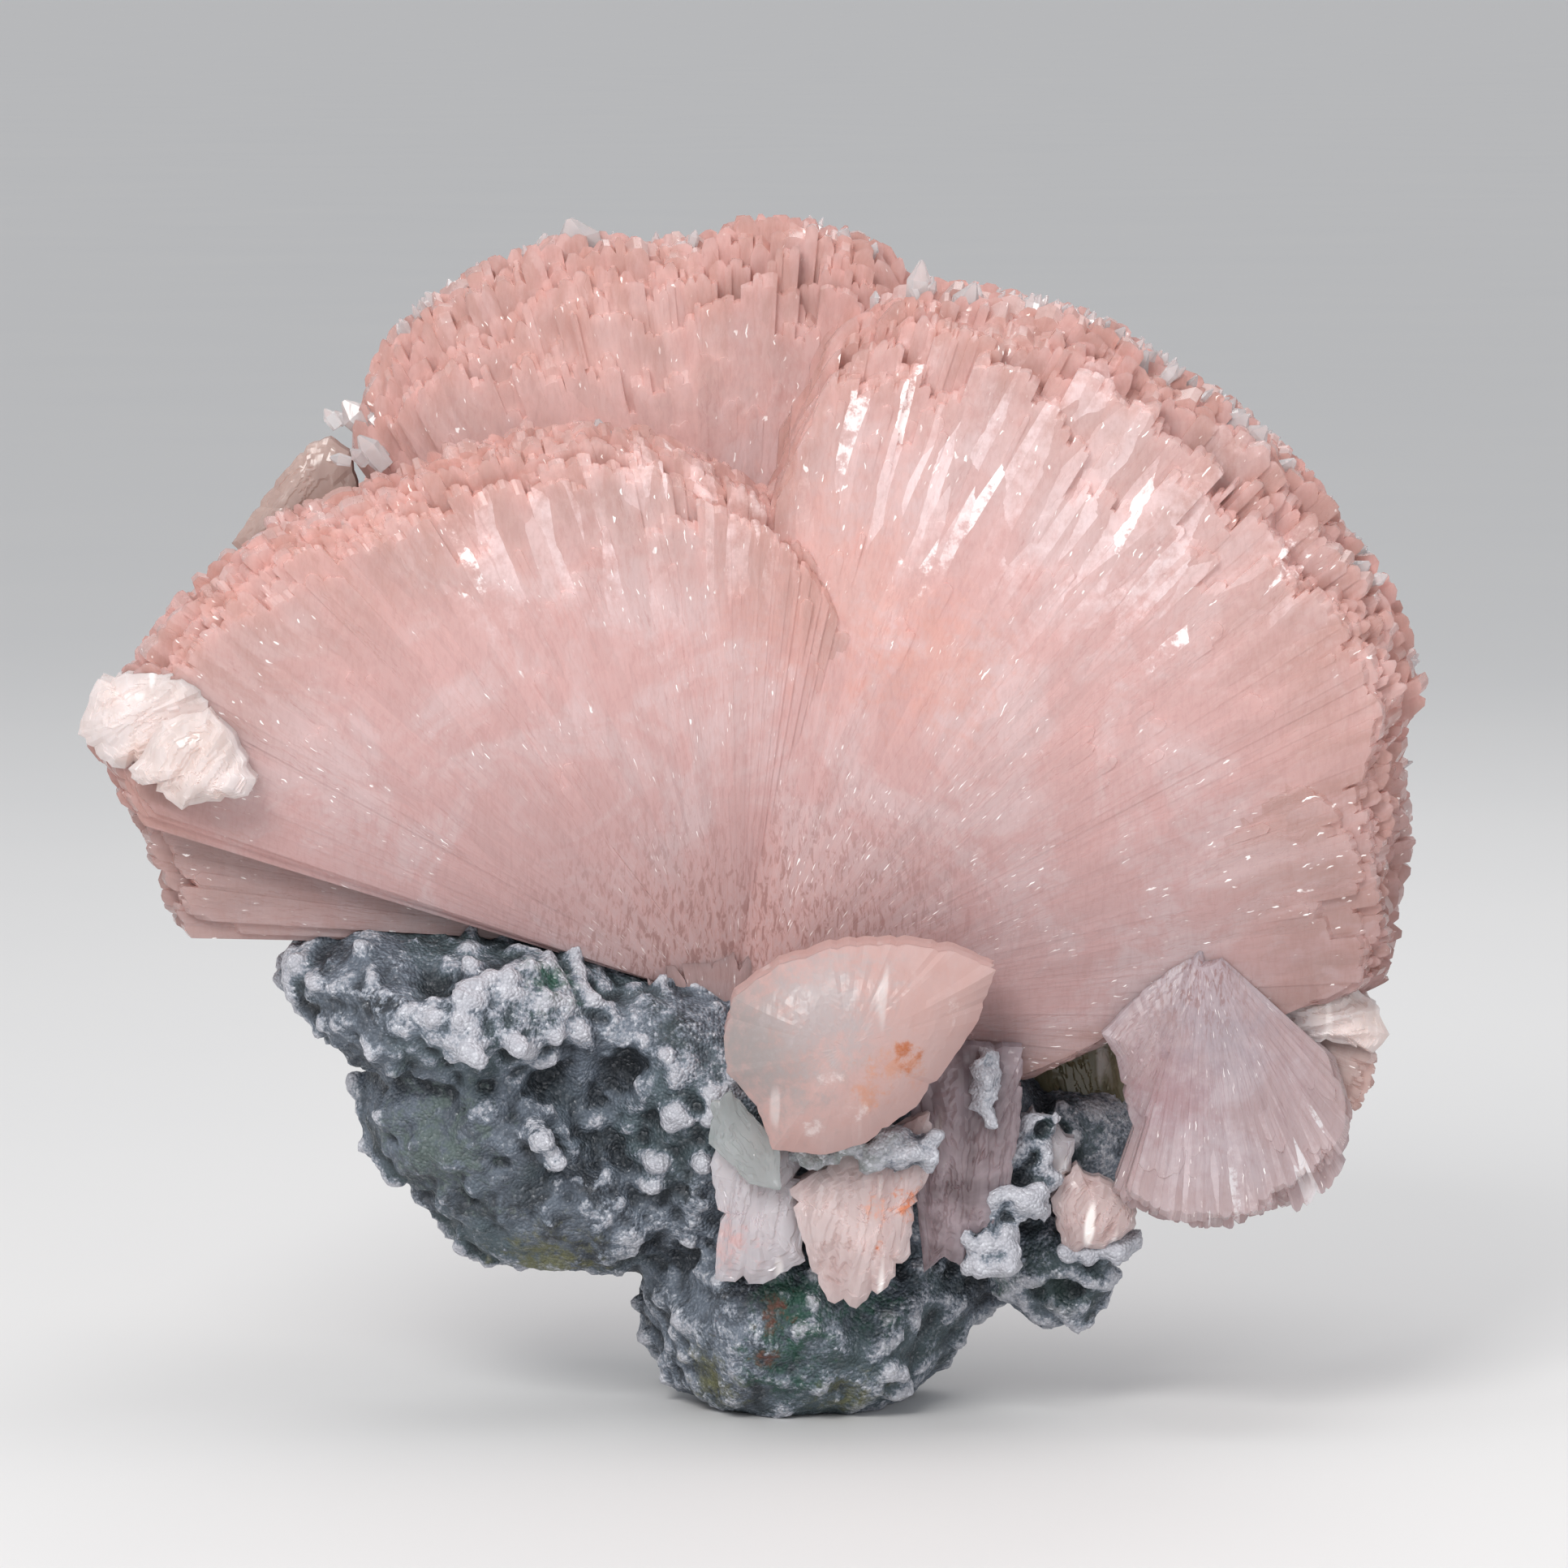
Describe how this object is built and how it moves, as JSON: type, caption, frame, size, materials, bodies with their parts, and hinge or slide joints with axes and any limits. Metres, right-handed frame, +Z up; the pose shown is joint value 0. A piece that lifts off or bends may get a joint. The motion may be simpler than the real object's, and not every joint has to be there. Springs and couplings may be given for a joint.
{
  "type": "heulandite crystal cluster",
  "caption": "Mineral specimen: a wide fan-shaped sheaf of pink zeolite blades on a knobbly chalcedony-coated rock.",
  "frame": {"origin": "near the middle of the flat face under the rock, which the specimen stands on", "axes": "+Z up, +X to the right seen from the front, -Y towards the front, where the fan shows its broad face"},
  "size_m": [0.1206, 0.0647, 0.107],
  "materials": {
    "pink_sheaf": "translucent pink with a pearly sheen",
    "pale_pink_crystal": "translucent pale pink, glassy",
    "clear_crystal": "clear to milky, glassy",
    "cream_crystal": "fibrous cream white, silky",
    "violet_crystal": "translucent violet grey, glassy",
    "rock": "blue-grey druzy chalcedony on dark basalt"
  },
  "bodies": {
    "root": {"bowtie_crystal": "pale_pink_crystal", "cream_cap_crystal": "cream_crystal", "front_block_crystal": "pale_pink_crystal", "left_cream_crystals": "cream_crystal", "lilac_plate_crystal": "violet_crystal", "main_sheaf": "pink_sheaf", "matrix_rock": "rock", "olive_blade": "violet_crystal", "pale_plate_crystal": "pale_pink_crystal", "rim_crystal_arch": "clear_crystal", "rim_crystal_crest": "clear_crystal", "rim_crystal_fork_a": "clear_crystal", "rim_crystal_fork_b": "clear_crystal", "rim_crystal_left_high": "clear_crystal", "rim_crystal_left_low": "clear_crystal", "rim_crystal_notch": "clear_crystal", "rim_crystal_right_end": "clear_crystal", "rim_crystal_right_high": "clear_crystal", "rim_crystal_right_low": "clear_crystal", "rim_crystal_top": "clear_crystal", "root_chip": "pink_sheaf", "small_pink_fan": "pale_pink_crystal", "splintered_crystal": "pale_pink_crystal", "thin_clear_blade": "clear_crystal", "upper_left_clear_blade": "clear_crystal", "violet_blade": "violet_crystal", "white_plate_crystal": "clear_crystal"}
  },
  "joints": []
}
